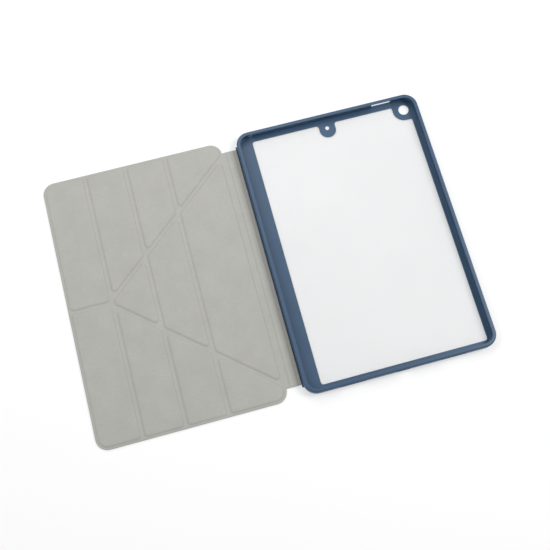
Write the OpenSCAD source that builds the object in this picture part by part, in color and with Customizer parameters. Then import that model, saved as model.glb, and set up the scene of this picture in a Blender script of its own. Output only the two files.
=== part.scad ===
// Folio case for a 10.2 inch tablet, lying open and flat: a folding cover, a spine strip
// and a clear-backed tray. Millimetres, Z up. The origin is the middle of the underside.

/* [Tablet] */
// Width of the tablet that the tray holds
tablet_w = 174.1; // [150:0.1:220]
// Height of the tablet
tablet_h = 250.6; // [220:0.1:300]
// Thickness of the tablet
tablet_t = 7.5; // [5:0.1:10]
// Play between the tablet and each pocket wall
pocket_play = 0.3; // [0.1:0.05:0.6]

/* [Tray] */
// Thickness of the soft wall round the pocket
wall = 3.0; // [2.4:0.1:4]
// Outer corner radius of the tray
tray_r = 12.5; // [10:0.5:16]
// Thickness of the flange that the tablet lies on
flange_t = 1.3; // [1.2:0.1:2]
// Width of the flange inside the pocket wall
flange_w = 4.4; // [3.5:0.1:7]
// How much wider the flange is at the top than at the bottom, halved
flange_shift = 0.6; // [0:0.1:1]
// Width of the flange on the hinge side, over the glued strip
hinge_flange_w = 13; // [13:0.5:20]
// How far the lip reaches over the tablet's edge
lip = 0.6; // [0.3:0.1:1]
// Height of the lip above the tablet's face
lip_t = 0.5; // [0.4:0.1:1]
// Thickness of the clear back panel
panel_t = 0.8; // [0.6:0.1:1.1]

/* [Holes in the tray] */
// Distance of the camera hole's centre from both outer edges
camera_in = 12.8; // [12:0.1:18]
// Radius of the camera hole
camera_r = 5; // [4:0.1:6]
// Radius of the ring round the camera hole
camera_ring_r = 10.8; // [9:0.1:12]
// Distance of the microphone hole from the top edge
mic_in = 12.2; // [10:0.1:16]
// Radius of the microphone hole
mic_r = 2; // [1:0.1:3]
// Half the width of the tab round the microphone hole
mic_tab_r = 8; // [6:0.1:10]
// How far the tab's round end sits below the microphone hole
mic_tab_drop = 1.8; // [0:0.1:3]
// Length of the tall slot in the top wall
slot_l = 19.4; // [12:0.1:24]
// Distance of the slot's near end from the right edge
slot_in = 23.8; // [22:0.1:40]
// Radius of the headphone hole
jack_r = 3; // [2.5:0.1:3]
// Width of the charging port window
port_w = 13; // [10:0.5:18]
// Width of each speaker window
speaker_w = 24; // [12:0.5:30]

/* [Buttons] */
// Length of each button pad
pad_l = 10.2; // [8:0.1:11]
// Height of each button pad
pad_h = 3.2; // [2.5:0.1:4]
// How far a pad stands out of the wall
pad_out = 0.5; // [0.2:0.1:1]
// Gap round each pad
pad_gap = 0.3; // [0.2:0.05:0.5]

/* [Cover] */
// Height of the cover, across the folds
cover_h = 256; // [220:0.5:300]
// Distance from the free edge to the spine's outer hinge line
cover_w = 175.1; // [172:0.1:178]
// Corner radius at the free edge
free_r = 11.2; // [9:0.1:14]
// Corner radius at the spine
spine_r = 11; // [9:0.5:14]
// Glued border round the stiffener boards
border = 3; // [2:0.1:5]
// Thickness of the outer skin
skin_t = 0.7; // [0.5:0.05:0.8]
// Thickness of the stiffener boards
board_t = 0.8; // [0.6:0.05:0.9]
// Thickness of the microfibre lining
lining_t = 0.4; // [0.3:0.05:0.4]
// Width of the spine between its two hinge lines
spine_w = 11.5; // [11.5:0.1:12]
// Thickness of the film that stiffens the spine
spine_film_t = 0.3; // [0.2:0.05:0.35]
// Gap between the tray and its hinge line
hinge_gap = 1.8; // [1.7:0.1:2.5]

/* [Creases] */
// Distance of the first crease from the free edge
crease_a = 40.9; // [38:0.1:44]
// Spacing of the creases after the first
crease_step = 38.9; // [36:0.1:40]
// Width of an upright crease
crease_gap = 4.2; // [4.2:0.1:5]
// Width of the slanted creases
slant_gap = 4.5; // [4:0.1:6]
// Width of the short crease across the first column
cross_gap = 4.4; // [4:0.1:6]
// Angle of the slanted creases from the short one
slant = 40.2; // [38:0.1:45]
// How far before the first crease the slanted creases would meet
slant_from = 3.1; // [2.6:0.1:4]
// Corner radius of the boards
board_r = 2.2; // [1:0.1:3]

/* [Hidden] */
$fn = 48;
eps = 0.01;
through = 5;

// tray
pocket_w = tablet_w + 2 * pocket_play;
pocket_h = tablet_h + 2 * pocket_play;
tray_w = pocket_w + 2 * wall;
tray_h = pocket_h + 2 * wall;
lip_z = flange_t + tablet_t + 0.1;
rim_z = lip_z + lip_t;
mid_z = flange_t + tablet_t / 2;
flange_in = wall + flange_w;
flange_high = flange_in + flange_shift;
hinge_flange_in = wall + hinge_flange_w;
flange_r = 2.5;
panel_lap = 2.2;
panel_seat = flange_t - 0.4;
sleeve = 2;

// hinge lines and creases, counted from the cover's free edge
spine_x = cover_w;
hinge_x = cover_w + spine_w;
tray_x = hinge_x + hinge_gap;
case_w = tray_x + tray_w;
creases = [for (i = [0:2]) crease_a + i * crease_step];
land = 2.0;
cover_y = (tray_h - cover_h) / 2;
mid_y = tray_h / 2;
top_y = tray_h;
right_x = case_w;

// layers
fold_z = skin_t + lining_t;
cover_z = skin_t + board_t + lining_t;
strip_w = 13;
strip_y = 9;
glue_t = 0.15;
strip_land = 0.8;

// places in the tray
camera = [right_x - camera_in, top_y - camera_in];
mic = [tray_x + tray_w / 2, top_y - mic_in];
jack_x = tray_x + 16.2;
slot_x = right_x - slot_in - slot_l;
scoop = 1.2;
pinhole_r = 0.8;
power_x = right_x - 17.4;
volume_y = [top_y - 33.3, top_y - 44.9];
speaker_x = [for (s = [-1, 1]) mic[0] + s * 47];

// magnets: length, width
magnet = [20, 6];
closure_at = [for (s = [-1, 1]) [10, mid_y + s * 68]];
stand_at = [for (s = [-1, 1]) [146, mid_y + s * 42]];

// ---- shared shapes -------------------------------------------------------

// Moves the whole case so that its box is centred on the origin
module placed() {
  translate([-(case_w + pad_out) / 2, -(tray_h + pad_out) / 2, 0]) children();
}

// A rounded rectangle from one corner to the other
module plate(low, high, r) {
  size = high - low;
  translate(low + [r, 0]) square([size[0] - 2 * r, size[1]]);
  translate(low + [0, r]) square([size[0], size[1] - 2 * r]);
  for (x = [low[0] + r, high[0] - r], y = [low[1] + r, high[1] - r])
    translate([x, y]) circle(r);
}

// A slab between two heights
module slab(z0, z1) {
  translate([0, 0, z0]) linear_extrude(z1 - z0) children();
}

function unit(v) = v / norm(v);

// The arc that rounds vertex p between its neighbours a and b
function corner(p, a, b, r, n = 5) =
  let (
    to_a = unit(a - p),
    to_b = unit(b - p),
    half = acos(to_a * to_b) / 2,
    centre = p + unit(to_a + to_b) * r / sin(half),
    from = p + to_a * r / tan(half) - centre,
    to = p + to_b * r / tan(half) - centre,
    start = atan2(from[1], from[0]),
    turn = atan2(from[0] * to[1] - from[1] * to[0], from * to)
  )
  [for (i = [0:n]) centre + r * [cos(start + turn * i / n), sin(start + turn * i / n)]];

// A polygon with every corner rounded
function rounded(points, r) =
  let (n = len(points))
  [for (i = [0:n - 1]) each corner(points[i], points[(i + n - 1) % n], points[(i + 1) % n], r)];

// ---- tray ----------------------------------------------------------------

// Section of the wall: x is the distance in from the outer face, y the height
wall_section = concat(
  [for (a = [180:15:270]) [1.4 + 1.4 * cos(a), 1.4 + 1.4 * sin(a)]],
  [[wall, 0], [wall, lip_z], [wall + lip, lip_z]],
  [for (a = [0:22.5:90]) [wall + lip - 0.35 + 0.35 * cos(a), rim_z - 0.35 + 0.35 * sin(a)]],
  [for (a = [90:15:180]) [1.5 + 1.5 * cos(a), rim_z - 1.5 + 1.5 * sin(a)]]
);

// One straight wall, running along X with its outer face on Y = 0
module straight_wall(length) {
  translate([length, 0, 0]) rotate([90, 0, -90]) linear_extrude(length)
    polygon([for (p = wall_section) [-p[0], p[1]]]);
}

module corner_wall() {
  rotate_extrude(angle = 90) polygon([for (p = wall_section) [tray_r - p[0], p[1]]]);
}

module wall_ring() {
  run_x = tray_w - 2 * tray_r;
  run_y = tray_h - 2 * tray_r;
  translate([tray_x, 0, 0]) {
    translate([tray_r, 0, 0]) straight_wall(run_x);
    translate([tray_w - tray_r, tray_h, 0]) rotate(180) straight_wall(run_x);
    translate([tray_w, tray_r, 0]) rotate(90) straight_wall(run_y);
    translate([0, tray_h - tray_r, 0]) rotate(-90) straight_wall(run_y);
    translate([tray_w - tray_r, tray_h - tray_r, 0]) corner_wall();
    translate([tray_r, tray_h - tray_r, 0]) rotate(90) corner_wall();
    translate([tray_r, tray_r, 0]) rotate(180) corner_wall();
    translate([tray_w - tray_r, tray_r, 0]) rotate(270) corner_wall();
  }
}

// The opening that the flange leaves, grown by g and moved down by shift
module back_opening(g, shift) {
  plate(
    [tray_x + hinge_flange_in - g, flange_in - shift - g],
    [right_x - flange_in + g, top_y - flange_in - shift + g],
    flange_r + g
  );
}

// Fills the corner at the origin, which lies between +X and -Y, with a fillet
module fillet(r) {
  difference() {
    translate([-eps, -r]) square([r + eps, r + eps]);
    translate([r, -r]) circle(r);
  }
}

module camera_ring() {
  translate(camera) circle(camera_ring_r);
  translate(camera - [0, camera_ring_r]) square([camera_in - wall, camera_ring_r]);
  translate(camera - [camera_ring_r, 0]) square([camera_ring_r, camera_in - wall]);
  translate([camera[0] - camera_ring_r, top_y - flange_high]) mirror([1, 0]) fillet(1.5);
  translate([right_x - flange_in, camera[1] - camera_ring_r]) mirror([1, 0]) fillet(1.5);
}

module mic_tab() {
  translate(mic - [0, mic_tab_drop]) circle(mic_tab_r);
  translate(mic - [mic_tab_r, mic_tab_drop])
    square([2 * mic_tab_r, mic_in + mic_tab_drop - wall]);
  for (side = [0, 1])
    translate([mic[0] + (side == 0 ? 1 : -1) * mic_tab_r, top_y - flange_high])
      mirror([side, 0]) fillet(2.5);
}

module flange() {
  slab(0, flange_t) {
    difference() {
      plate([tray_x + 2, 2], [right_x - 2, top_y - 2], tray_r - 2);
      back_opening(0, flange_shift);
    }
    camera_ring();
    mic_tab();
  }
}

// What the clear panel fills: the opening and a lap under the flange, round the two sleeves
module panel_shape() {
  difference() {
    back_opening(panel_lap, 0);
    translate(camera) circle(camera_r + sleeve);
    translate(mic) circle(mic_r + sleeve);
  }
}

// A window with round ends along its length, cut through a wall that faces Y
module window(length, height) {
  rotate([90, 0, 0]) linear_extrude(2 * through, center = true) {
    square([length - height, height], center = true);
    for (s = [-1, 1]) translate([s * (length - height) / 2, 0]) circle(height / 2);
  }
}

// A window with small corner radii
module port(length, height, r) {
  rotate([90, 0, 0]) linear_extrude(2 * through, center = true)
    plate(-[length, height] / 2, [length, height] / 2, r);
}

module button_windows() {
  length = pad_l + 2 * pad_gap;
  height = pad_h + 2 * pad_gap;
  translate([power_x, top_y, mid_z]) window(length, height);
  for (y = volume_y) translate([right_x, y, mid_z]) rotate(90) window(length, height);
}

module round_hole(r) {
  rotate([90, 0, 0]) cylinder(r = r, h = 2 * through, center = true);
}

module top_windows() {
  slot_h = lip_z - flange_t - 0.5;
  translate([slot_x + slot_l / 2, top_y, flange_t + slot_h / 2]) port(slot_l, slot_h, 0.8);
  // a scoop outside the slot leaves its wall thin and runs out at the bottom
  translate([slot_x - 1.5, top_y - scoop, -eps]) cube([slot_l + 3, through, lip_z - 0.5]);
  translate([jack_x, top_y, mid_z]) round_hole(jack_r);
  translate([mic[0], top_y, mid_z]) round_hole(pinhole_r);
}

module bottom_windows() {
  translate([mic[0], 0, mid_z]) port(port_w, 6, 1.5);
  for (x = speaker_x) translate([x, 0, mid_z]) port(speaker_w, 4.6, 1.2);
}

module anchor_outline(g) {
  translate([tray_x - 1, strip_y - g]) square([strip_w + 1 + g, tray_h - 2 * strip_y + 2 * g]);
}

module tray_frame() {
  color([0.36, 0.44, 0.54]) placed() difference() {
    union() {
      wall_ring();
      flange();
    }
    slab(-1, panel_seat) panel_shape();
    slab(-1, skin_t + glue_t) anchor_outline(0.1);
    translate(camera) cylinder(r = camera_r, h = 4 * through, center = true);
    translate(mic) cylinder(r = mic_r, h = 4 * through, center = true);
    button_windows();
    top_windows();
    bottom_windows();
  }
}

module back_panel() {
  color([0.93, 0.94, 0.95, 0.35]) placed() slab(panel_seat - panel_t, panel_seat) panel_shape();
}

module anchor_strip() {
  x0 = hinge_x + strip_land;
  color([0.16, 0.22, 0.33]) placed() slab(0, skin_t)
    translate([x0, strip_y]) square([tray_x + strip_w - x0, tray_h - 2 * strip_y]);
}

module anchor_glue() {
  inset = 1.5;
  color([0.85, 0.83, 0.75]) placed() slab(skin_t, skin_t + glue_t)
    translate([tray_x + inset, strip_y + inset])
      square([strip_w - 2 * inset, tray_h - 2 * strip_y - 2 * inset]);
}

// ---- buttons -------------------------------------------------------------

// A pad that faces +Y, with its outer face pad_out proud of Y = 0
module button_pad() {
  body = pad_l - pad_h;
  module outline(g) {
    square([body, pad_h - 2 * g], center = true);
    for (s = [-1, 1]) translate([s * body / 2, 0]) circle(pad_h / 2 - g);
  }
  dome = 0.25;
  translate([0, pad_out - dome, 0]) rotate([90, 0, 0])
    linear_extrude(wall + pad_out - dome) outline(0);
  translate([0, pad_out, 0]) rotate([90, 0, 0]) linear_extrude(dome) outline(0.3);
}

module power_button() {
  color([0.33, 0.41, 0.51]) placed() translate([power_x, top_y, mid_z]) button_pad();
}

module volume_button(i) {
  color([0.33, 0.41, 0.51]) placed()
    translate([right_x, volume_y[i], mid_z]) rotate(-90) button_pad();
}

// ---- cover ---------------------------------------------------------------

// The cover's outline, inset by g
module cover_outline(g) {
  y0 = cover_y + g;
  y1 = cover_y + cover_h - g;
  mid = cover_w / 2;
  x1 = cover_w - land - g;
  intersection() {
    plate([g, y0], [cover_w + 60, y1], free_r - g);
    translate([g, y0]) square([mid - g, y1 - y0]);
  }
  intersection() {
    plate([-60, y0], [x1, y1], spine_r - g);
    translate([mid, y0]) square([x1 - mid, y1 - y0]);
  }
}

// Left and right limits of a column's rigid part
column_x = [
  [-1, creases[0] - crease_gap / 2],
  [creases[0] + crease_gap / 2, creases[1] - crease_gap / 2],
  [creases[1] + crease_gap / 2, creases[2] - crease_gap / 2],
  [creases[2] + crease_gap / 2, cover_w]
];

module column_outline(i) {
  intersection() {
    cover_outline(0);
    translate([column_x[i][0], cover_y])
      square([column_x[i][1] - column_x[i][0], cover_h]);
  }
}

// Height of a slanted crease above the short one at x
function rise(x) = (x - creases[0] + slant_from) * tan(slant);
function slant_half(g) = (slant_gap / 2 - g) / cos(slant);

// A board above or below the slanted creases, or in the first column
function side_board(x0, x1, y0, y1, row, far) =
  [[x0, row * y0], [x1, row * y1], [x1, row * far], [x0, row * far]];

// The board beside the spine, which a slanted crease tapers away
function tapered_board(x0, y0, tip, row, far) = [[x0, row * y0], [tip, row * far], [x0, row * far]];

// A board's polygon. row: -1 lower, 0 middle, 1 upper. g grows it by the lining's thickness
function board_points(col, row, g) =
  let (
    h = slant_half(g),
    cross = cross_gap / 2 - g,
    far = cover_h / 2 - border + g,
    x0 = col == 0 ? border - g : column_x[col][0] + lining_t - g,
    x1 = col == 3 ? cover_w - land - border + g : column_x[col][1] - lining_t + g,
    tip = creases[0] - slant_from + (far - h) / tan(slant)
  )
  col == 0 ? side_board(x0, x1, cross, cross, row, far)
  : col == 3 && row != 0 ? tapered_board(x0, rise(x0) + h, tip, row, far)
  : row != 0 ? side_board(x0, x1, rise(x0) + h, rise(x1) + h, row, far)
  : [[x0, h - rise(x0)], [x1, h - rise(x1)], [x1, rise(x1) - h], [x0, rise(x0) - h]];

module board_shape(col, row, g = 0) {
  intersection() {
    translate([0, mid_y]) polygon(rounded(board_points(col, row, g), board_r + g));
    cover_outline(border - g);
  }
}

module magnet_places(places) {
  for (p = places) translate(p) square([magnet[1], magnet[0]], center = true);
}

module board(col, row) {
  color([0.75, 0.72, 0.66]) placed() difference() {
    slab(skin_t, skin_t + board_t) board_shape(col, row);
    if (col == 0) slab(0, through) magnet_places(closure_at);
    if (col == 3) slab(0, through) magnet_places(stand_at);
  }
}

module magnets(places) {
  color([0.6, 0.6, 0.62]) placed() slab(skin_t, skin_t + board_t) magnet_places(places);
}

rows = [[-1, 1], [-1, 0, 1], [-1, 0, 1], [-1, 0, 1]];

// The lining is flat on the skin in the creases and stands over each board
module column_lining(col) {
  color([0.70, 0.70, 0.67]) placed() difference() {
    union() {
      slab(skin_t, fold_z) column_outline(col);
      for (row = rows[col]) slab(skin_t, cover_z) intersection() {
        board_shape(col, row, lining_t);
        column_outline(col);
      }
    }
    for (row = rows[col]) slab(skin_t - 1, skin_t + board_t) board_shape(col, row);
  }
}

module column_skin(col) {
  color([0.16, 0.22, 0.33]) placed() slab(0, skin_t) column_outline(col);
}

// The flexible web of a crease: skin and lining bonded together
module crease_fold(i) {
  color([0.62, 0.62, 0.60]) placed() slab(0, fold_z) intersection() {
    cover_outline(0);
    translate([creases[i] - crease_gap / 2, cover_y]) square([crease_gap, cover_h]);
  }
}

// ---- spine ---------------------------------------------------------------

spine_y = cover_y + spine_r;

module spine_band(x0, x1, z0, z1, inset = 0) {
  slab(z0, z1) translate([x0 + inset, spine_y + inset])
    square([x1 - x0 - 2 * inset, tray_h - 2 * spine_y - 2 * inset]);
}

spine_x0 = spine_x + land;
spine_x1 = hinge_x - land;

module spine_skin() {
  color([0.16, 0.22, 0.33]) placed() spine_band(spine_x0, spine_x1, 0, skin_t);
}

module spine_film() {
  color([0.85, 0.85, 0.82]) placed()
    spine_band(spine_x0, spine_x1, skin_t, skin_t + spine_film_t, lining_t);
}

module spine_lining() {
  color([0.70, 0.70, 0.67]) placed() difference() {
    spine_band(spine_x0, spine_x1, skin_t, fold_z + spine_film_t);
    spine_band(spine_x0, spine_x1, skin_t - 1, skin_t + spine_film_t, lining_t);
  }
}

module spine_cover_fold() {
  color([0.62, 0.62, 0.60]) placed() spine_band(spine_x - land, spine_x + land, 0, fold_z);
}

module tray_spine_fold() {
  color([0.62, 0.62, 0.60]) placed() spine_band(hinge_x - land, hinge_x + strip_land, 0, fold_z);
}

// ---- nodes ---------------------------------------------------------------

tray_frame();
back_panel();
anchor_strip();
anchor_glue();
power_button();
volume_button(0);  // volume_up_button
volume_button(1);  // volume_down_button
tray_spine_fold();
spine_skin();
spine_film();
spine_lining();
spine_cover_fold();
column_skin(3);  // column_4_skin
column_lining(3);  // column_4_lining
board(3, -1);  // board_4_lower
board(3, 0);  // board_4_middle
board(3, 1);  // board_4_upper
magnets(stand_at);  // stand_magnets
crease_fold(2);  // crease_c_fold
column_skin(2);  // column_3_skin
column_lining(2);  // column_3_lining
board(2, -1);  // board_3_lower
board(2, 0);  // board_3_middle
board(2, 1);  // board_3_upper
crease_fold(1);  // crease_b_fold
column_skin(1);  // column_2_skin
column_lining(1);  // column_2_lining
board(1, -1);  // board_2_lower
board(1, 0);  // board_2_middle
board(1, 1);  // board_2_upper
crease_fold(0);  // crease_a_fold
column_skin(0);  // column_1_skin
column_lining(0);  // column_1_lining
board(0, -1);  // board_1_lower
board(0, 1);  // board_1_upper
magnets(closure_at);  // closure_magnets
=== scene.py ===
import math

import bmesh
import bpy
import numpy as np
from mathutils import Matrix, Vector, noise
from mathutils.geometry import convex_hull_2d, delaunay_2d_cdt


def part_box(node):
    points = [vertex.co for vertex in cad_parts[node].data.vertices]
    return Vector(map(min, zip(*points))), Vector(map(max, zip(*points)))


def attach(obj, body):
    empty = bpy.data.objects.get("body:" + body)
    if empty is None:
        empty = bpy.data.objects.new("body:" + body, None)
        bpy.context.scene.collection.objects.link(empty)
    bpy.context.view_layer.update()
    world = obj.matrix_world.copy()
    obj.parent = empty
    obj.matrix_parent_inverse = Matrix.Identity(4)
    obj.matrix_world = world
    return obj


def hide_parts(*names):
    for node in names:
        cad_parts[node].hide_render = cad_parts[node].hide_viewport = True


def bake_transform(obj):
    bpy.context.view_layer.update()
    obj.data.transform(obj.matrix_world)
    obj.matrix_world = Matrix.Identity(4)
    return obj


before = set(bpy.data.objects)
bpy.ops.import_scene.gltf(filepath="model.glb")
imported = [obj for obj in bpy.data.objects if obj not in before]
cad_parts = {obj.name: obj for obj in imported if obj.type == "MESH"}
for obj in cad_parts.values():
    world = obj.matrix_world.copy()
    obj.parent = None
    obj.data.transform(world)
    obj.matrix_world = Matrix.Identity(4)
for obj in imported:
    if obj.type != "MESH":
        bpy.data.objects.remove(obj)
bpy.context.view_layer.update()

# Folio case for a 10.2 inch tablet, lying open with its inside up. Shapes are worked out in millimetres in
# the frame of model.glb, and turned into metres when a mesh is made.
MM = 0.001


# ---- measures read from the frame ------------------------------------------

def box_mm(node):
    low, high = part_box(node)
    return low / MM, high / MM


def outline_of(node):
    """A convex CAD node's outline from above, counter-clockwise."""
    points = [v.co.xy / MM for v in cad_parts[node].data.vertices]
    return [points[i] for i in convex_hull_2d(points)]


COLUMNS = (1, 2, 3, 4)
CREASES = {"a": (1, 2), "b": (2, 3), "c": (3, 4)}
column_x = {i: (box_mm(f"column_{i}_skin")[0].x, box_mm(f"column_{i}_skin")[1].x) for i in COLUMNS}
boards = [outline_of(n) for n in sorted(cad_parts) if n.startswith("board_")]
films = [outline_of("spine_film")]

cover_low, cover_high = box_mm("column_1_skin")[0], box_mm("column_4_skin")[1]
spine_low, spine_high = box_mm("spine_skin")
cover_web, tray_web = box_mm("spine_cover_fold"), box_mm("tray_spine_fold")
anchor_low, anchor_high = box_mm("anchor_strip")
tray_low, tray_high = box_mm("tray_frame")
panel_low, panel_high = box_mm("back_panel")

SKIN_TOP = cover_high.z
FOLD_TOP = box_mm("crease_a_fold")[1].z
COVER_TOP = box_mm("column_1_lining")[1].z
BOARD_TOP = box_mm("board_1_lower")[1].z
FILM_TOP = box_mm("spine_film")[1].z

# ---- driving sizes, in millimetres ------------------------------------------

FREE_R = 11.2          # cover's corners at the free edge
SPINE_R = 11.0         # cover's corners at the spine
SHOULDER = (-1.0, 1.7)  # where the lining starts to fall and where it meets the channel
RIM_DROP = 0.28        # how far the lining is pressed down at its cut edge
RIM_W = 0.7            # width of that rounding
GROOVE = 0.14          # depth of the channels in the outer skin
WAVE = 0.05            # slow unevenness of the glued lining

TRAY_R = 12.5          # tray's outer corners
WALL = 3.0             # thickness of the wall
FLANGE_T = 1.3         # thickness of the flange
FLANGE_R = 2.5         # corners of the clear opening
EDGE_R = 0.3           # rounding of the flange's free edges
PANEL_LAP = 2.2        # how far the clear panel runs under the flange
FLANGE_SHIFT = 0.6     # how far the opening sits below the middle of the panel
LIP = 0.6              # how far the lip reaches in from the wall
LIP_Z = 8.9            # height of its underside
RIM_Z = tray_high.z
MID_Z = 5.05           # height of the ports and buttons
OUTER_R = 1.5          # rounding of the wall's upper outer edge
FOOT_R = 1.4           # rounding of its lower outer edge
ROOT_R = 0.6           # fillet between the wall and the flange
JOIN_IN = 5.2          # where the swept wall hands over to the flange

CAMERA_IN, CAMERA_R, CAMERA_RING_R = 12.8, 5.0, 10.8
MIC_IN, MIC_R, MIC_TAB_R, MIC_TAB_DROP = 12.2, 2.0, 8.0, 1.8
camera_at = Vector((tray_high.x - CAMERA_IN, tray_high.y - CAMERA_IN))
mic_at = Vector(((tray_low.x + tray_high.x) / 2, tray_high.y - MIC_IN))
SLEEVE = 2.0           # frame left round each of those holes, which the clear panel goes round
HOLE_FLARE = 0.6       # how much wider, in radius, the round holes are at the back
SLOT_L, SLOT_IN, SCOOP = 19.4, 23.8, 1.2
JACK_IN, JACK_R, PINHOLE_R = 16.2, 3.0, 0.8
PORT_W, PORT_H = 13.0, 6.0
SPEAKER_W, SPEAKER_H, SPEAKER_OUT = 24.0, 4.6, 47.0
CUT_PAST = 0.02        # how far a cut starts outside the face that it opens
BUTTON_GAP = 0.3
BUTTON_MOUTH, BUTTON_SUNK = 0.6, 1.0  # a pad's window inside: its bevel, and how deep the pad sits


# ---- plane geometry -----------------------------------------------------------

def normal_of(a, b):
    """Unit vector to the right of the way from a to b."""
    way = (b - a).normalized()
    return Vector((way.y, -way.x))


def filleted(corners, g=0.0, steps=10):
    """A closed counter-clockwise outline from (x, y, radius) corners, moved out by g."""
    places = [Vector(c[:2]) for c in corners]
    loop = []
    for i, (p, (_, _, r)) in enumerate(zip(places, corners)):
        before = normal_of(places[i - 1], p)
        after = normal_of(p, places[(i + 1) % len(places)])
        turn = math.atan2(before.cross(after), before.dot(after))
        side = 1 if turn > 0 else -1
        centre = p - side * r * (before + after) / (1 + before.dot(after))
        for k in range(steps + 1):
            angle = turn * k / steps
            c, s = math.cos(angle), math.sin(angle)
            out = Vector((c * before.x - s * before.y, s * before.x + c * before.y))
            loop.append(centre + out * (side * r + g))
    return loop


def circle(centre, r, n=48):
    return [centre + r * Vector((math.cos(a), math.sin(a))) for a in np.arange(n) * math.tau / n]


def rectangle(low, high, r):
    return [(low.x, low.y, r), (high.x, low.y, r), (high.x, high.y, r), (low.x, high.y, r)]


def grown(outline, g):
    """A convex outline moved out by g, with round joins at its sharp corners."""
    loop = []
    for i, p in enumerate(outline):
        before = normal_of(outline[i - 1], p)
        after = normal_of(p, outline[(i + 1) % len(outline)])
        turn = math.atan2(before.cross(after), before.dot(after))
        if g > 0 and turn > math.radians(25):
            steps = math.ceil(turn / math.radians(15))
            for k in range(steps + 1):
                c, s = math.cos(turn * k / steps), math.sin(turn * k / steps)
                loop.append(p + g * Vector((c * before.x - s * before.y, s * before.x + c * before.y)))
        else:
            loop.append(p + g * (before + after) / (1 + before.dot(after)))
    return loop


def divided(line, step):
    """The line with points added so that none of its parts is longer than step."""
    out = []
    for a, b in zip(line, line[1:]):
        n = max(1, math.ceil((b - a).length / step))
        out += [a.lerp(b, k / n) for k in range(n)]
    return out + [line[-1]]


def closed(loop):
    return list(loop) + [loop[0]]


def clipped(line, x0, x1):
    """The stretches of a line between two upright lines, cut exactly at them."""
    pieces, piece = [], []
    for a, b in zip(line, line[1:]):
        cuts = [(x - a.x) / (b.x - a.x) for x in (x0, x1) if (a.x - x) * (b.x - x) < 0]
        stops = [a] + [a.lerp(b, t) for t in sorted(cuts)] + [b]
        for p, q in zip(stops, stops[1:]):
            if x0 - 1e-6 <= (p.x + q.x) / 2 <= x1 + 1e-6:
                piece = piece or [p]
                piece.append(q)
            elif piece:
                pieces.append(piece)
                piece = []
    return pieces + [piece] if piece else pieces


def signed_distance(outline, x, y):
    """Distance from many points to a closed outline, negative inside it."""
    start = np.array([tuple(p) for p in outline])
    edge = np.roll(start, -1, 0) - start
    px, py = x[:, None] - start[:, 0], y[:, None] - start[:, 1]
    along = np.clip((px * edge[:, 0] + py * edge[:, 1]) / np.maximum((edge**2).sum(1), 1e-12), 0, 1)
    gap = np.hypot(px - along * edge[:, 0], py - along * edge[:, 1]).min(1)
    crosses = (py < 0) != (py < edge[:, 1])
    slope = edge[:, 0] / np.where(edge[:, 1] == 0, 1, edge[:, 1])
    inside = (crosses & (px < py * slope)).sum(1) % 2 == 1
    return np.where(inside, -gap, gap)


def smooth(value, low, high):
    t = np.clip((value - low) / (high - low), 0, 1)
    return t * t * (3 - 2 * t)


# ---- heights of the laminate ----------------------------------------------------

def laminate_corners(right):
    """The cover with the strip that runs on from it to right, across the spine."""
    low, high = cover_low, cover_high
    return [
        (low.x, low.y, FREE_R), (high.x, low.y, SPINE_R), (high.x, spine_low.y, 0),
        (right, spine_low.y, 1), (right, spine_high.y, 1),
        (high.x, spine_high.y, 0), (high.x, high.y, SPINE_R), (low.x, high.y, FREE_R),
    ]


LINING_OUTLINE = laminate_corners(tray_web[1].x)
SKIN_OUTLINE = laminate_corners(anchor_high.x)


def board_distance(x, y):
    return np.min([signed_distance(b, x, y) for b in boards], 0)


def film_distance(x, y):
    return np.min([signed_distance(f, x, y) for f in films], 0)


def edge_distance(corners, x, y):
    return -signed_distance(filleted(corners), x, y)


def waves(x, y):
    return np.array([noise.noise((a / 23, b / 31, 0.5)) for a, b in zip(x, y)])


def lining_top(x, y):
    over = 1 - smooth(board_distance(x, y), *SHOULDER)
    film = 1 - smooth(film_distance(x, y), *SHOULDER)
    rim = 1 - smooth(edge_distance(LINING_OUTLINE, x, y), 0, RIM_W)
    z = FOLD_TOP + (COVER_TOP - FOLD_TOP) * over + (FILM_TOP - SKIN_TOP) * film
    return z + WAVE * waves(x, y) * (1 - rim) - RIM_DROP * rim


def lining_bottom(x, y):
    over = board_distance(x, y) < 0.03
    film = film_distance(x, y) < 0.03
    return SKIN_TOP + (BOARD_TOP - SKIN_TOP) * over + (FILM_TOP - SKIN_TOP) * film


def skin_top(x, y):
    return np.full(len(x), SKIN_TOP)


def skin_bottom(x, y):
    channel = smooth(board_distance(x, y), 0.2, 1.6) * (x < cover_high.x + 0.01)
    rim = 1 - smooth(edge_distance(SKIN_OUTLINE, x, y), 0, RIM_W)
    return np.maximum(GROOVE * channel, RIM_DROP * rim)


def pressed(x, y):
    """Painted shade along the foot of every board and film edge, where shade falls in the channels,
    stronger beside edges that face +x or +y; and 0.4 along the lining's cut edge, which is made darker.
    """
    gap = np.minimum(board_distance(x, y), film_distance(x, y))
    line = smooth(gap, -0.4, 0.3) * (1 - smooth(gap, 0.5, 1.3))
    step = 0.05
    slope_x = (board_distance(x + step, y) - board_distance(x - step, y)) / (2 * step)
    slope_y = (board_distance(x, y + step) - board_distance(x, y - step)) / (2 * step)
    rim = 1 - smooth(edge_distance(LINING_OUTLINE, x, y), 0.2, 1.0)
    return np.maximum(line * (0.7 + 0.3 * slope_x + 0.2 * slope_y), 0.4 * rim)


def worn(x, y):
    """1 where the outer skin is rubbed: along its outline."""
    return 1 - smooth(edge_distance(SKIN_OUTLINE, x, y), 0.2, 1.4)


# ---- mesh making -------------------------------------------------------------------

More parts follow.
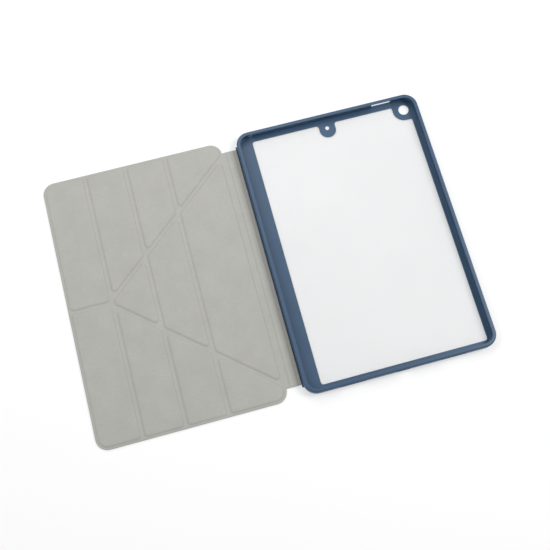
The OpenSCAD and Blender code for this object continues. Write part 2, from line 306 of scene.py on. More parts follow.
def make_mesh(name, points, faces, materials, sharp=40):
    """A mesh object from points in millimetres, smooth but for edges sharper than that angle."""
    mesh = bpy.data.meshes.new(name)
    mesh.from_pydata([tuple(p) for p in np.asarray(points, float) * MM], [], faces)
    tidy = bmesh.new()
    tidy.from_mesh(mesh)
    bmesh.ops.recalc_face_normals(tidy, faces=tidy.faces)
    tidy.to_mesh(mesh)
    tidy.free()
    for material in materials:
        mesh.materials.append(material)
    mesh.polygons.foreach_set("use_smooth", [True] * len(mesh.polygons))
    mesh.set_sharp_from_angle(angle=math.radians(sharp))
    piece = bpy.data.objects.new(name, mesh)
    bpy.context.scene.collection.objects.link(piece)
    return piece


def paint(piece, **layers):
    """Stores each layer(x, y) on the piece's points, for its material to read."""
    co = np.array([v.co for v in piece.data.vertices]) / MM
    for name, layer in layers.items():
        values = layer(co[:, 0], co[:, 1]).astype(np.float32)
        piece.data.attributes.new(name, "FLOAT", "POINT").data.foreach_set("value", values)


def triangulated(lines, extra=()):
    """Points and counter-clockwise triangles of the plane, along every line given."""
    points, edges = [], []
    for line in lines:
        first = len(points)
        points += line
        edges += [(first + i, first + i + 1) for i in range(len(line) - 1)]
    xy, _, triangles, *_ = delaunay_2d_cdt(points + list(extra), edges, [], 0, 1e-4)
    return np.array([tuple(p) for p in xy]), np.array([tuple(t) for t in triangles])


def thin_solid(name, lines, extra, inside, top, bottom, materials):
    """A closed sheet over the part of the plane that inside(x, y) picks."""
    xy, triangles = triangulated(lines, extra)
    centre = xy[triangles].mean(1)
    triangles = triangles[inside(centre[:, 0], centre[:, 1])]
    used, triangles = np.unique(triangles, return_inverse=True)
    xy, triangles = xy[used], triangles.reshape(-1, 3)
    n = len(xy)
    x, y = xy[:, 0], xy[:, 1]
    points = np.concatenate([np.c_[x, y, top(x, y)], np.c_[x, y, bottom(x, y)]])
    ways = {(int(t[i]), int(t[i - 2])) for t in triangles for i in range(3)}
    walls = [(a, a + n, b + n, b) for a, b in sorted(ways) if (b, a) not in ways]
    faces = [tuple(map(int, t)) for t in triangles]
    faces += [tuple(int(i) + n for i in reversed(t)) for t in triangles] + walls
    return make_mesh(name, points, faces, materials)


def grid_solid(name, xs, ys, top, bottom, materials):
    """A closed strip over a grid of xs and ys."""
    nx, ny = len(xs), len(ys)
    x, y = (a.ravel() for a in np.meshgrid(xs, ys))
    n = nx * ny
    points = np.concatenate([np.c_[x, y, top(x, y)], np.c_[x, y, bottom(x, y)]])
    faces = []
    for j in range(ny - 1):
        for i in range(nx - 1):
            a = j * nx + i
            quad = (a, a + 1, a + nx + 1, a + nx)
            faces += [quad, tuple(k + n for k in reversed(quad))]
    rim = (
        list(range(nx)) + [j * nx + nx - 1 for j in range(1, ny)]
        + list(range(n - 2, n - nx - 1, -1)) + [j * nx for j in range(ny - 2, 0, -1)]
    )
    faces += [(a, a + n, b + n, b) for a, b in zip(rim, rim[1:] + rim[:1])]
    return make_mesh(name, points, faces, materials)


# ---- materials -----------------------------------------------------------------------

class Shader:
    """A principled material and the few nodes that its pattern is made of."""

    def __init__(self, name, **sockets):
        self.material = bpy.data.materials.new(name)
        self.material.use_nodes = True
        self.nodes, self.links = self.material.node_tree.nodes, self.material.node_tree.links
        self.surface = self.nodes["Principled BSDF"]
        for socket, value in sockets.items():
            self.surface.inputs[socket.replace("_", " ")].default_value = value
        self.place = self.nodes.new("ShaderNodeTexCoord").outputs["Object"]

    def add(self, kind, inputs=(), **settings):
        node = self.nodes.new("ShaderNode" + kind)
        for key, value in settings.items():
            setattr(node, key, value)
        for socket, value in dict(inputs).items():
            if isinstance(value, bpy.types.NodeSocket):
                self.links.new(value, node.inputs[socket])
            else:
                node.inputs[socket].default_value = value
        return node

    def stretched(self, scale):
        return self.add("Mapping", {"Vector": self.place, "Scale": scale}).outputs["Vector"]

    def noise(self, scale, detail=2.0, roughness=0.5, vector=None):
        inputs = {"Vector": vector or self.place, "Scale": scale, "Detail": detail, "Roughness": roughness}
        return self.add("TexNoise", inputs).outputs["Fac"]

    def cells(self, scale, feature="F1", vector=None):
        inputs = {"Vector": vector or self.place, "Scale": scale}
        return self.add("TexVoronoi", inputs, feature=feature).outputs["Distance"]

    def layer(self, name):
        return self.add("Attribute", attribute_name=name, attribute_type="GEOMETRY").outputs["Fac"]

    def math(self, operation, a, b=0.0):
        return self.add("Math", {0: a, 1: b}, operation=operation).outputs[0]

    def range(self, value, low, high, from_low=0.0, from_high=1.0):
        inputs = {0: value, 1: from_low, 2: from_high, 3: low, 4: high}
        return self.add("MapRange", inputs).outputs[0]

    def mix(self, factor, a, b, blend="MIX"):
        node = self.add("Mix", {0: factor}, data_type="RGBA", blend_type=blend)
        for socket, value in ((6, a), (7, b)):
            if isinstance(value, bpy.types.NodeSocket):
                self.links.new(value, node.inputs[socket])
            else:
                node.inputs[socket].default_value = (*value, 1)
        return node.outputs[2]

    def bump(self, height, strength, distance, normal=None):
        inputs = {"Strength": strength, "Distance": distance, "Height": height}
        if normal:
            inputs["Normal"] = normal
        return self.add("Bump", inputs).outputs["Normal"]

    def drive(self, **sockets):
        for socket, value in sockets.items():
            self.links.new(value, self.surface.inputs[socket.replace("_", " ")])
        return self.material


def microfibre():
    """Short brushed nap: slow cloudy patches, tufts, fine fibres, painted shade along the channels and a
    darker cut edge.
    """
    s = Shader("warm_grey_microfibre", Roughness=0.9, Sheen_Weight=0.25, Sheen_Roughness=0.5,
               Specular_IOR_Level=0.25)
    clouds = s.noise(45, 3, 0.6)
    streaks = s.noise(1, 4, 0.65, s.stretched((260, 1100, 800)))
    tufts = s.noise(430, 3, 0.65)
    fibres = s.noise(4200, 3, 0.7)
    colour = s.mix(s.range(clouds, 0, 1, 0.35, 0.65), (0.388, 0.385, 0.357), (0.422, 0.419, 0.388))
    colour = s.mix(s.range(tufts, 0, 0.3, 0.4, 0.7), colour, (0.335, 0.332, 0.305))
    colour = s.mix(s.range(streaks, 0, 0.5, 0.35, 0.75), colour, (0.358, 0.355, 0.327))
    colour = s.mix(s.range(fibres, 0, 0.45, 0.4, 0.8), colour, (0.474, 0.470, 0.435))
    # painted shade at the foot of the channels, and the darker cut edge
    colour = s.mix(s.math("MULTIPLY", s.layer("pressed"), 0.4), colour, (0.285, 0.282, 0.257))
    rough = s.range(streaks, 0.82, 0.98)
    relief = s.math("ADD", fibres, s.math("MULTIPLY", streaks, 0.8))
    return s.drive(Base_Color=colour, Roughness=rough, Normal=s.bump(relief, 0.35, 0.00012))


def leather_look():
    """Coated skin: a fine pebbled grain with darker valleys and rubbed edges."""
    s = Shader("navy_grained_skin", Specular_IOR_Level=0.45, Sheen_Weight=0.05)
    warp = s.noise(350, 2)
    vector = s.add("VectorMath", {0: s.place}, operation="ADD")
    shift = s.add("VectorMath", {0: warp, "Scale": 0.0012}, operation="SCALE")
    s.links.new(shift.outputs[0], vector.inputs[1])
    pebbles = s.cells(1300, "SMOOTH_F1", vector.outputs[0])
    small = s.cells(3100, "F1", vector.outputs[0])
    valley = s.range(pebbles, 0, 1, 0.25, 0.75)
    clouds = s.noise(30, 3, 0.6)
    colour = s.mix(s.range(clouds, 0, 1, 0.3, 0.7), (0.020, 0.038, 0.078), (0.027, 0.050, 0.098))
    colour = s.mix(s.math("MULTIPLY", valley, 0.6), colour, (0.011, 0.022, 0.048))
    rubbed = s.math("MULTIPLY", s.layer("worn"), s.range(s.noise(900, 3), 0.1, 0.7, 0.35, 0.7))
    colour = s.mix(rubbed, colour, (0.075, 0.105, 0.155))
    rough = s.range(s.math("ADD", clouds, valley), 0.42, 0.68, 0.2, 1.6)
    relief = s.math("ADD", s.math("MULTIPLY", pebbles, -1.0), s.math("MULTIPLY", small, -0.35))
    return s.drive(Base_Color=colour, Roughness=rough, Normal=s.bump(relief, 0.6, 0.00022))


def soft_frame(name, shade):
    """Moulded TPU: a fine spark-eroded surface, almost even in colour."""
    s = Shader(name, Specular_IOR_Level=0.6)
    clouds = s.noise(38, 3, 0.55)
    speck = s.noise(5200, 2, 0.6)
    dark, light = (tuple(shade * c for c in rgb) for rgb in ((0.025, 0.068, 0.132), (0.030, 0.077, 0.147)))
    colour = s.mix(s.range(clouds, 0, 1, 0.3, 0.7), dark, light)
    colour = s.mix(s.range(speck, 0, 0.25, 0.45, 0.8), colour, (0.036, 0.090, 0.170))
    rough = s.range(s.math("ADD", speck, clouds), 0.40, 0.54, 0.6, 1.4)
    return s.drive(Base_Color=colour, Roughness=rough, Normal=s.bump(speck, 0.2, 0.00004))


def clear_plastic():
    """Clear hard panel: faintly grey, with a slight orange peel and hairline scratches."""
    s = Shader("clear_hard_plastic", Alpha=0.22, Specular_IOR_Level=0.5, IOR=1.49)
    peel = s.noise(160, 2)
    hair = s.noise(1, 5, 0.7, s.stretched((90, 2600, 400)))
    scratch = s.range(hair, 0, 1, 0.66, 0.8)
    colour = s.mix(s.range(s.noise(14, 2), 0, 1, 0.3, 0.7), (0.645, 0.65, 0.66), (0.675, 0.68, 0.69))
    colour = s.mix(s.math("MULTIPLY", scratch, 0.25), colour, (0.76, 0.76, 0.78))
    rough = s.range(s.math("ADD", peel, scratch), 0.18, 0.34, 0.3, 1.5)
    return s.drive(Base_Color=colour, Roughness=rough, Normal=s.bump(peel, 0.08, 0.0001))


def greyboard():
    """Pulp board with short darker fibres."""
    s = Shader("grey_stiffener_board", Roughness=0.95, Specular_IOR_Level=0.1)
    pulp = s.noise(500, 5, 0.7)
    fleck = s.noise(1, 3, 0.6, s.stretched((1800, 420, 900)))
    colour = s.mix(s.range(pulp, 0, 1, 0.3, 0.7), (0.36, 0.33, 0.28), (0.46, 0.42, 0.36))
    colour = s.mix(s.range(fleck, 0, 0.6, 0.6, 0.75), colour, (0.22, 0.20, 0.17))
    return s.drive(Base_Color=colour, Normal=s.bump(pulp, 0.4, 0.0001))


def nickel():
    """Plated magnet with a faint grinding lay."""
    s = Shader("nickel_plating", Metallic=1.0)
    lay = s.noise(1, 3, 0.6, s.stretched((300, 5000, 300)))
    colour = s.mix(lay, (0.52, 0.51, 0.49), (0.66, 0.65, 0.62))
    return s.drive(Base_Color=colour, Roughness=s.range(lay, 0.22, 0.42), Normal=s.bump(lay, 0.1, 0.00002))


def translucent_film(name, low, high):
    """Thin polyester film, or the clear adhesive that has dried on one."""
    s = Shader(name, Specular_IOR_Level=0.5)
    haze = s.noise(220, 3)
    return s.drive(Base_Color=s.mix(haze, low, high), Roughness=s.range(haze, 0.25, 0.5),
                   Normal=s.bump(haze, 0.1, 0.0001))


def studio_floor():
    """White acrylic, lit a little from below as on a light table, so that shadows stay faint."""
    s = Shader("white_floor", Roughness=0.8, Specular_IOR_Level=0.2, Emission_Strength=0.45)
    s.surface.inputs["Emission Color"].default_value = (1, 1, 1, 1)
    return s.drive(Base_Color=s.mix(s.noise(3, 2), (0.50, 0.50, 0.50), (0.52, 0.52, 0.52)))


lining_cloth = microfibre()
outer_skin = leather_look()
tray_plastic = soft_frame("navy_soft_frame", 1.0)
button_plastic = soft_frame("navy_soft_buttons", 0.94)
clear_panel = clear_plastic()
board_stock = greyboard()
magnet_metal = nickel()
film_stock = translucent_film("spine_film_stock", (0.62, 0.62, 0.58), (0.72, 0.72, 0.68))
glue_stock = translucent_film("dried_adhesive", (0.60, 0.56, 0.44), (0.70, 0.66, 0.54))


# ---- cover and spine ---------------------------------------------------------------

SHOULDER_LINES = (-1.6, -1.0, -0.65, -0.3, 0.0, 0.06, 0.3, 0.6, 0.95, 1.3, 1.7, 2.1)
RIM_LINES = (0.0, 0.1, 0.25, 0.45, 0.7, 1.1, 1.6)
SEAM_STEP = 1.0        # between points up a seam
SEAM_CLEAR = 0.15      # between a seam and the lines beside it
FILL_STEP = 5.0        # between loose points
LINES_MID = 0.25       # middle of the shoulder lines, which loose points keep this far from:
LINES_CLEAR = 2.1
RIM_CLEAR = 2.4        # between the outline and loose points


def seam_ys(low, high):
    """Heights up a seam: close together in the rim, even between."""
    count = round((high - low - 2 * RIM_LINES[-1]) / SEAM_STEP)
    middle = np.linspace(low + RIM_LINES[-1], high - RIM_LINES[-1], count + 1)
    return [low + e for e in RIM_LINES[:-1]] + list(middle) + [high - e for e in reversed(RIM_LINES[:-1])]


def kept_inside(line, x0, x1):
    """The stretches of a line that stay clear of both seams."""
    pieces, piece = [], []
    for p in line:
        if x0 + SEAM_CLEAR < p.x < x1 - SEAM_CLEAR:
            piece.append(p)
        elif piece:
            pieces.append(piece)
            piece = []
    return [q for q in pieces + [piece] if len(q) > 1]


def column_lines(i):
    """Every line that column i's mesh follows: its outline, its rim, its seams and its boards."""
    x0, x1 = column_x[i]
    lines = []
    for e in RIM_LINES:
        rim = closed(filleted(LINING_OUTLINE, -e))
        lines += [divided(part, 3) for part in clipped(rim, x0, x1)]
    if i > 1:
        lines.append([Vector((x0, y)) for y in seam_ys(cover_low.y, cover_high.y)])
    if i < 4:
        lines.append([Vector((x1, y)) for y in seam_ys(cover_low.y, cover_high.y)])
    else:
        lines.append([Vector((x1, y)) for y in seam_ys(spine_low.y, spine_high.y)])
    for board in boards:
        for g in SHOULDER_LINES:
            lines += kept_inside(divided(closed(grown(board, g)), 3), x0, x1)
    return lines


def column_fill(i):
    """Loose points between the lines, off their grid so that the triangles stay even."""
    x0, x1 = column_x[i]
    xs = np.arange(x0 + 2.5, x1 - 2, FILL_STEP)
    ys = np.arange(cover_low.y + 2.5, cover_high.y - 2, FILL_STEP)
    shift = FILL_STEP / 4
    points = np.array([(x, y + (shift if k % 2 else -shift)) for k, x in enumerate(xs) for y in ys])
    clear_of_boards = np.abs(board_distance(points[:, 0], points[:, 1]) - LINES_MID) > LINES_CLEAR
    clear_of_rim = edge_distance(LINING_OUTLINE, points[:, 0], points[:, 1]) > RIM_CLEAR
    return [Vector(p) for p in points[clear_of_boards & clear_of_rim]]


def dressed(lining, skin, nodes):
    """Finishes a pair of laminate pieces that stand for the given nodes."""
    # the lining gets painted shade along its channels and a darker cut edge
    paint(lining, pressed=pressed)
    paint(skin, worn=worn)
    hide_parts(*nodes)
    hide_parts(*nodes)


def column(i):
    x0, x1 = column_x[i]

    def inside(x, y):
        within = (x > x0) & (x < x1)
        return within & (signed_distance(filleted(LINING_OUTLINE), x, y) < 0)

    plan = column_lines(i), column_fill(i), inside
    lining = thin_solid(f"column_{i}_microfibre", *plan, lining_top, lining_bottom, [lining_cloth])
    skin = thin_solid(f"column_{i}_outer_skin", *plan, skin_top, skin_bottom, [outer_skin])
    dressed(lining, skin, (f"column_{i}_lining", f"column_{i}_skin"))
    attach(lining, f"column_{i}")
    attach(skin, f"column_{i}")


def web_xs(x0, x1, n=12):
    """Positions across a web, closer together at its two seams."""
    return [x0 + (x1 - x0) * (1 - math.cos(math.pi * k / n)) / 2 for k in range(n + 1)]


def web(name, node, bodies, low, high):
    """The flexible lining and skin between two stiff parts, running from one to the other."""
    xs, ys = web_xs(low.x, high.x), seam_ys(low.y, high.y)
    lining = grid_solid(f"{name}_microfibre", xs, ys, lining_top, lining_bottom, [lining_cloth])
    skin = grid_solid(f"{name}_outer_skin", xs, ys, skin_top, skin_bottom, [outer_skin])
    dressed(lining, skin, (node,))
    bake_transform(lining)
    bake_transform(skin)


def spine():
    xs = [spine_low.x + x for x in (0, 0.1, 0.3, 0.4, 0.46, 0.8, 1.4)]
    xs += list(np.linspace(spine_low.x + 2.2, spine_high.x - 2.2, 4))
    xs += [spine_high.x - x for x in (1.4, 0.8, 0.46, 0.4, 0.3, 0.1, 0)]
    ys = seam_ys(spine_low.y, spine_high.y)
    lining = grid_solid("spine_microfibre", xs, ys, lining_top, lining_bottom, [lining_cloth])
    skin = grid_solid("spine_outer_skin", xs, ys, skin_top, skin_bottom, [outer_skin])
    dressed(lining, skin, ("spine_lining", "spine_skin"))
    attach(lining, "spine")
    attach(skin, "spine")


def anchor_bottom(x, y):
    """The strip's underside, eased at its two ends and its far edge."""
    ends = np.minimum(y - anchor_low.y, anchor_high.y - y)
    return RIM_DROP * (1 - smooth(np.minimum(ends, anchor_high.x - x), 0, RIM_W))


def anchor():
    """The skin's glued end under the tray."""
    xs = [anchor_low.x + x for x in (0, 0.3, 0.8)]
    xs += list(np.linspace(anchor_low.x + 2, anchor_high.x - 1.5, 5))
    xs += [anchor_high.x - x for x in (0.9, 0.5, 0.2, 0)]
    ys = seam_ys(anchor_low.y, anchor_high.y)
    skin = grid_solid("anchor_outer_skin", xs, ys, skin_top, anchor_bottom, [outer_skin])
    paint(skin, worn=worn)
    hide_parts("anchor_strip")
    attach(skin, "tray")


for number in COLUMNS:
    column(number)
for letter, (left, right) in CREASES.items():
    low, high = box_mm(f"crease_{letter}_fold")
    web(f"crease_{letter}", f"crease_{letter}_fold", (f"column_{left}", f"column_{right}"), low, high)
web("spine_cover_web", "spine_cover_fold", ("column_4", "spine"), *cover_web)
web("tray_spine_web", "tray_spine_fold", ("spine", "tray"), *tray_web)
spine()
anchor()


# ---- tray ---------------------------------------------------------------------------

def arc(cx, cy, r, start, end, n):
    """Points of an arc between two angles in degrees."""
    angles = [math.radians(start + (end - start) * k / n) for k in range(n + 1)]
    return [(cx + r * math.cos(a), cy + r * math.sin(a)) for a in angles]


def wall_profile():
    """(distance in, height) from the flange's top, up the wall, over the lip and down outside."""
    tip = WALL + LIP
    return (
        [(JOIN_IN, FLANGE_T)]
        + arc(WALL + ROOT_R, FLANGE_T + ROOT_R, ROOT_R, 270, 180, 5)
        + arc(WALL + 0.2, LIP_Z - 0.2, 0.2, 180, 90, 3)
        + arc(tip - 0.12, LIP_Z + 0.12, 0.12, 270, 360, 2)
        + arc(tip - 0.34, RIM_Z - 0.34, 0.34, 0, 90, 4)
        + arc(OUTER_R, RIM_Z - OUTER_R, OUTER_R, 90, 180, 8)
        + arc(FOOT_R, FOOT_R, FOOT_R, 180, 270, 8)
        + [(JOIN_IN, 0)]
    )


class Rings:
    """A mesh gathered from rings of points that bands join."""

    def __init__(self):
        self.points, self.faces = [], []

    def ring(self, loop, z):
        first = len(self.points)
        self.points += [(p.x, p.y, z) for p in loop]
        return list(range(first, len(self.points)))

    def band(self, a, b):
        n = len(a)
        self.faces += [(a[i], a[(i + 1) % n], b[(i + 1) % n], b[i]) for i in range(n)]

    def bands(self, rings):
        for a, b in zip(rings, rings[1:]):
            self.band(a, b)

    def fill(self, outer, holes=()):
        """Triangles between an outer ring and the rings of its holes."""
        rings = [outer, *holes]
        index = [i for ring in rings for i in ring]
        flat = [Vector(self.points[i][:2]) for i in index]
        edges, first = [], 0
        for ring in rings:
            n = len(ring)
            edges += [(first + i, first + (i + 1) % n) for i in range(n)]
            first += n
        xy, _, triangles, origin, *_ = delaunay_2d_cdt(flat, edges, [], 0, 1e-6)
        spots = np.array([tuple(p) for p in xy])
        centre = spots[np.array([tuple(t) for t in triangles])].mean(1)
        shapes = [[Vector(self.points[i][:2]) for i in ring] for ring in rings]
        keep = signed_distance(shapes[0], centre[:, 0], centre[:, 1]) < 0
        for shape in shapes[1:]:
            keep &= signed_distance(shape, centre[:, 0], centre[:, 1]) > 0
        for t, wanted in zip(triangles, keep):
            if wanted:
                self.faces.append(tuple(index[origin[i][0]] for i in t))


opening_low = Vector((panel_low.x + PANEL_LAP, panel_low.y + PANEL_LAP - FLANGE_SHIFT))
opening_high = Vector((panel_high.x - PANEL_LAP, panel_high.y - PANEL_LAP - FLANGE_SHIFT))
ring_low = camera_at - Vector((CAMERA_RING_R, CAMERA_RING_R))
tab_low, tab_r = mic_at.y - MIC_TAB_DROP - MIC_TAB_R, MIC_TAB_R - 0.01
OPENING = [
    (opening_low.x, opening_low.y, FLANGE_R), (opening_high.x, opening_low.y, FLANGE_R),
    (opening_high.x, ring_low.y, 1.5), (ring_low.x, ring_low.y, CAMERA_RING_R),
    (ring_low.x, opening_high.y, 1.5),
    (mic_at.x + MIC_TAB_R, opening_high.y, FLANGE_R), (mic_at.x + MIC_TAB_R, tab_low, tab_r),
    (mic_at.x - MIC_TAB_R, tab_low, tab_r), (mic_at.x - MIC_TAB_R, opening_high.y, FLANGE_R),
    (opening_low.x, opening_high.y, FLANGE_R),
]
TRAY = rectangle(tray_low.xy, tray_high.xy, TRAY_R)


def frame_body():
    """The frame before anything is cut from its walls: a swept wall and the flange inside it."""
    body = Rings()
    sweep = [body.ring(filleted(TRAY, -u, 14), z) for u, z in wall_profile()]
    body.bands(sweep)
    top_holes, bottom_holes = [], []
    shapes = [
        (lambda g: filleted(OPENING, g, 12), 0),
        (lambda g: circle(camera_at, CAMERA_R + g, 64), HOLE_FLARE),
        (lambda g: circle(mic_at, MIC_R + g, 40), HOLE_FLARE),
    ]
    for shape, flare in shapes:
        rings = []
        for angle in (0, 30, 60, 90):
            g = EDGE_R * (1 - math.sin(math.radians(angle)))
            z = FLANGE_T - EDGE_R * (1 - math.cos(math.radians(angle)))
            rings.append(body.ring(shape(g), z))
        rings.append(body.ring(shape(flare), 0))
        body.bands(rings)
        top_holes.append(rings[0])
        bottom_holes.append(rings[-1])
    body.fill(sweep[0], top_holes)
    body.fill(sweep[-1], bottom_holes)
    return make_mesh("tray_soft_frame", body.points, body.faces, [tray_plastic], 30)


def plate(name, outline, holes, levels):
    """A flat plate with holes. levels are (growth, height) pairs from its lower to its upper face."""
    body = Rings()
    outer = [body.ring(outline(g), z) for g, z in levels]
    inner = [[body.ring(hole(-g), z) for g, z in levels] for hole in holes]
    for rings in [outer] + inner:
        body.bands(rings)
    body.fill(outer[0], [rings[0] for rings in inner])
    body.fill(outer[-1], [rings[-1] for rings in inner])
    return make_mesh(name, body.points, body.faces, [clear_panel], 30)


PANEL = rectangle(panel_low.xy, panel_high.xy, FLANGE_R + PANEL_LAP)
sleeves = [
    lambda g: circle(camera_at, CAMERA_R + SLEEVE + g, 64),
    lambda g: circle(mic_at, MIC_R + SLEEVE + g, 48),
]


def stadium(length, height, g=0.0, r=None):
    """Outline of a window or pad, centred on the origin, with round ends unless r is given."""
    size = Vector((length, height)) / 2
    return filleted(rectangle(-size, size, (height / 2 if r is None else r) - 0.01), g, 8)


def on_wall(side, at, z):
    """Turns (along, out, up) beside a wall into a place: out is 0 on the wall's outer face."""
    def place(along, out, up):
        if side == "top":
            return (at + along, tray_high.y + out, z + up)
        if side == "bottom":
            return (at + along, tray_low.y - out, z + up)
        return (tray_high.x + out, at - along, z + up)
    return place


def lofted(name, place, sections, material):
    """A closed solid through (outline, out) sections, as placed beside a wall."""
    body, n = Rings(), len(sections[0][0])
    for loop, out in sections:
        body.points += [place(p.x, out, p.y) for p in loop]
    for k in range(len(sections) - 1):
        body.band(list(range(k * n, k * n + n)), list(range(k * n + n, k * n + 2 * n)))
    last = (len(sections) - 1) * n
    body.faces += [tuple(range(n)), tuple(range(last, last + n))]
    return make_mesh(name, body.points, body.faces, [material], 40)


def window(side, at, z, length, height, r=None, mouth=0.5, inner=0.25):
    """A cutter through a wall whose hole opens out round outside and at 45 degrees inside."""
    angles = np.linspace(0, math.pi / 2, 6)
    steps = [(mouth, 1.0)]
    steps += [(mouth * (1 - math.sin(a)), -mouth * (1 - math.cos(a)) + CUT_PAST) for a in angles]
    steps += [(0, inner - WALL), (inner, -WALL), (inner, -WALL - 2 * LIP)]
    sections = [(stadium(length, height, g, r), out) for g, out in steps]
    return lofted("window", on_wall(side, at, z), sections, tray_plastic)


def block(low, high):
    """A plain box for cutting with."""
    body = Rings()
    (x0, y0, z0), (x1, y1, z1) = low, high
    outline = [Vector(p) for p in ((x0, y0), (x1, y0), (x1, y1), (x0, y1))]
    rings = [body.ring(outline, z) for z in (z0, z1)]
    body.bands(rings)
    body.faces += [tuple(rings[0]), tuple(rings[1])]
    return make_mesh("block", body.points, body.faces, [tray_plastic])


power_low, power_high = box_mm("power_button")
volume_boxes = {n: box_mm(n) for n in ("volume_up_button", "volume_down_button")}
pad_l, pad_h = power_high.x - power_low.x, power_high.z - power_low.z
power_x = (power_low.x + power_high.x) / 2
slot_x = tray_high.x - SLOT_IN - SLOT_L / 2


def cutters():
    cut_l, cut_h = pad_l + 2 * BUTTON_GAP, pad_h + 2 * BUTTON_GAP
    made = [
        window("top", power_x, MID_Z, cut_l, cut_h, mouth=0.25, inner=BUTTON_MOUTH),
        window("top", tray_low.x + JACK_IN, MID_Z, 2 * JACK_R, 2 * JACK_R),
        window("top", mic_at.x, MID_Z, 2 * PINHOLE_R, 2 * PINHOLE_R, mouth=0.3, inner=0.8),
        window("bottom", mic_at.x, MID_Z, PORT_W, PORT_H, 1.5),
    ]
    for side in (-1, 1):
        speaker_x = mic_at.x + side * SPEAKER_OUT
        made.append(window("bottom", speaker_x, MID_Z, SPEAKER_W, SPEAKER_H, 1.2))
    for low, high in volume_boxes.values():
        at = (low.y + high.y) / 2
        made.append(window("right", at, MID_Z, cut_l, cut_h, mouth=0.25, inner=BUTTON_MOUTH))
    slot_low, slot_high = FLANGE_T + 0.05, LIP_Z - 0.5
    made.append(window("top", slot_x, (slot_low + slot_high) / 2, SLOT_L, slot_high - slot_low, 0.8, 0.3))
    dish = ((0.4, 1.0), (0.4, CUT_PAST), (0.12, -0.3), (0.0, -0.7), (-0.15, -1.0), (-0.5, -SCOOP))
    scoop = [(stadium(SLOT_L + 3, 2 * slot_high, g, 1.2), out) for g, out in dish]
    made.append(lofted("scoop", on_wall("top", slot_x, 0), scoop, tray_plastic))
    pocket = (0, -1), (0, panel_high.z)
    made.append(plate("panel_pocket", lambda g: filleted(PANEL, g, 12), sleeves, pocket))
    anchor_bed = (anchor_high.x + 0.1, anchor_high.y + 0.1, box_mm("anchor_glue")[1].z)
    made.append(block((tray_low.x - 1, anchor_low.y - 0.1, -1), anchor_bed))
    return made


def cut(piece, tools):
    """Takes every tool out of the piece, and leaves a plain mesh with even shading."""
    for tool in tools:
        step = piece.modifiers.new("cut", "BOOLEAN")
        step.operation, step.solver, step.object = "DIFFERENCE", "MANIFOLD", tool
    bpy.context.view_layer.update()
    whole = piece.evaluated_get(bpy.context.evaluated_depsgraph_get())
    mesh = bpy.data.meshes.new_from_object(whole)
    piece.modifiers.clear()
    piece.data = mesh
    for tool in tools:
        bpy.data.objects.remove(tool)
    mesh.polygons.foreach_set("use_smooth", [True] * len(mesh.polygons))
    mesh.set_sharp_from_angle(angle=math.radians(30))
    even = piece.modifiers.new("even_shading", "WEIGHTED_NORMAL")
    even.keep_sharp = True


def tray():
    body = frame_body()
    cut(body, cutters())
    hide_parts("tray_frame")
    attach(body, "tray")
    low, high, soft = panel_low.z, panel_high.z, 0.12
    levels = ((-soft, low), (0, low + soft), (0, high - soft), (-soft, high))
    panel = plate("clear_back_panel", lambda g: filleted(PANEL, g, 12), sleeves, levels)
    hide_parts("back_panel")
    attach(panel, "tray")


def button(node, side, at):
    """A pad with a soft shoulder and a slightly crowned face."""
    proud = power_high.y - tray_high.y
    ease, shoulder, crown = 0.2, 0.3, 0.1
    steps = [(-ease, BUTTON_SUNK - WALL), (0, BUTTON_SUNK - WALL + ease), (0, proud - shoulder - crown)]
    for angle in (30, 60, 90):
        a = math.radians(angle)
        steps.append((shoulder * (math.cos(a) - 1), proud - shoulder - crown + shoulder * math.sin(a)))
    steps += [(-0.75, proud - 0.04), (-1.25, proud)]
    sections = [(stadium(pad_l, pad_h, g), out) for g, out in steps]
    pad = lofted(f"{node}_pad", on_wall(side, at, MID_Z), sections, button_plastic)
    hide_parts(node)
    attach(pad, node)


tray()
button("power_button", "top", power_x)
for node, (low, high) in volume_boxes.items():
    button(node, "right", (low.y + high.y) / 2)


# ---- inner pieces that keep their CAD shape --------------------------------------------

def refinish(node, material):
    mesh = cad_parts[node].data
    mesh.materials.clear()
    mesh.materials.append(material)


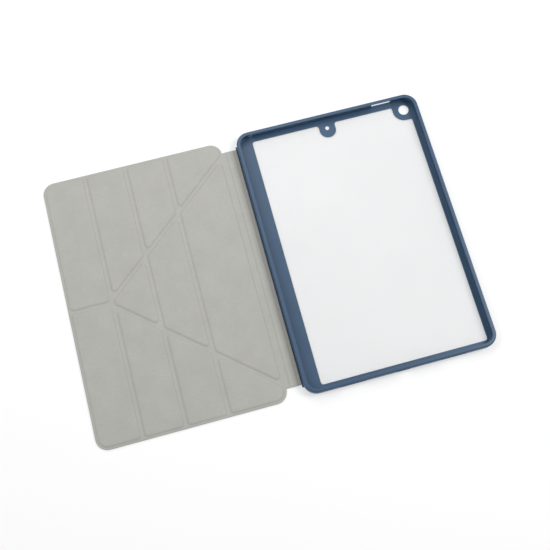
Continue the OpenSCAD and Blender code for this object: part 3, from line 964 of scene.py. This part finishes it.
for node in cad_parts:
    if node.startswith("board_"):
        refinish(node, board_stock)
refinish("closure_magnets", magnet_metal)
refinish("stand_magnets", magnet_metal)
refinish("spine_film", film_stock)
refinish("anchor_glue", glue_stock)


# ---- studio -----------------------------------------------------------------------------

def floor():
    half = 3.0
    mesh = bpy.data.meshes.new("floor")
    corners = [(-half, -half, 0), (half, -half, 0), (half, half, 0), (-half, half, 0)]
    mesh.from_pydata(corners, [], [(0, 1, 2, 3)])
    mesh.materials.append(studio_floor())
    plane = bpy.data.objects.new("floor", mesh)
    plane.location.z = -0.0002
    bpy.context.scene.collection.objects.link(plane)


def area_light(name, azimuth, elevation, distance, size, power, colour=(1, 1, 1)):
    """A square soft light aimed at the origin. Azimuth is counted from +X towards +Y."""
    a, e = math.radians(azimuth), math.radians(elevation)
    way = Vector((math.cos(a) * math.cos(e), math.sin(a) * math.cos(e), math.sin(e)))
    lamp = bpy.data.lights.new(name, "AREA")
    lamp.size, lamp.energy, lamp.color = size, power, colour
    light = bpy.data.objects.new(name, lamp)
    light.location = way * distance
    light.rotation_euler = (-way).to_track_quat("-Z", "Y").to_euler()
    bpy.context.scene.collection.objects.link(light)


def studio():
    floor()
    world = bpy.data.worlds.new("studio")
    world.use_nodes = True
    background = world.node_tree.nodes["Background"]
    background.inputs["Color"].default_value = (0.985, 0.99, 1.0, 1)
    background.inputs["Strength"].default_value = 0.38
    bpy.context.scene.world = world
    area_light("right", -3, 48, 1.3, 0.5, 8.6)
    area_light("left", 168, 48, 1.3, 0.5, 4.2)
    area_light("back", 92, 52, 0.8, 0.6, 2.4)
    bpy.context.scene.view_settings.view_transform = "Standard"


def camera():
    """The photograph's viewpoint."""
    lens = bpy.data.cameras.new("camera")
    lens.lens = 53.3
    lens.sensor_width = 36
    lens.clip_start = 0.05
    view = bpy.data.objects.new("camera", lens)
    view.location = (-0.0556, -0.1970, 0.7282)
    view.rotation_euler = [math.radians(d) for d in (14.895, -0.896, -15.205)]
    bpy.context.scene.collection.objects.link(view)
    bpy.context.scene.camera = view


studio()
camera()
